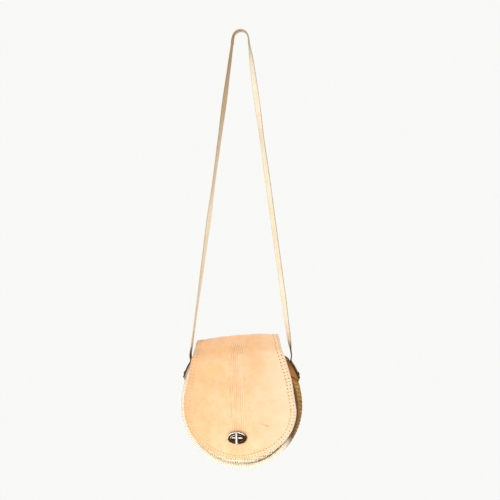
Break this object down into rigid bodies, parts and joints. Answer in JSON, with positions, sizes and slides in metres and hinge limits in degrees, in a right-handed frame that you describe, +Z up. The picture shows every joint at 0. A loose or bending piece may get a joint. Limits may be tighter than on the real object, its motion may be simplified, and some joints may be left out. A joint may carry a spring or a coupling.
{
  "type": "rattan crossbody bag",
  "caption": "Round-bottomed saddle bag of woven rattan with a leather flap, a side gusset, an oval turn lock and a narrow shoulder strap, hanging by its strap.",
  "frame": {"origin": "the underside of the strap's arch, where a peg or hook carries the bag", "axes": "+Z up along the hanging strap, -Y out of the flap, +X to the right of a person who faces the flap"},
  "size_m": [0.212, 0.0976, 0.7607],
  "materials": {
    "woven_rattan": "golden split rattan in a close weave, lightly varnished",
    "wrapped_cane": "pale split cane wrapped round a core, satin",
    "flap_leather": "natural vegetable-tanned leather, smooth, slightly mottled and scratched",
    "strap_leather": "natural vegetable-tanned leather, smooth, edges darker",
    "cap_leather": "reddish-tan smooth leather",
    "dark_metal": "dark oxidised, satin",
    "lock_metal": "polished dark nickel"
  },
  "bodies": {
    "bag": {"front_panel": "woven_rattan", "back_panel": "woven_rattan", "gusset": "woven_rattan", "front_rim": "wrapped_cane", "back_rim": "wrapped_cane", "flap": "flap_leather", "strap": "strap_leather", "side_tab_left": "cap_leather", "side_tab_right": "cap_leather", "strap_rivet_left": "dark_metal", "strap_rivet_right": "dark_metal", "lock_base": "lock_metal", "lock_frame": "lock_metal"},
    "lock_bar": {"lock_bar": "lock_metal"}
  },
  "joints": [
    {"name": "lock_turn", "type": "hinge", "parent": "bag", "child": "lock_bar", "pos_m": [0.00271, -0.056, -0.69356], "axis": [0, -1, 0], "range_deg": [0, 90]}
  ]
}
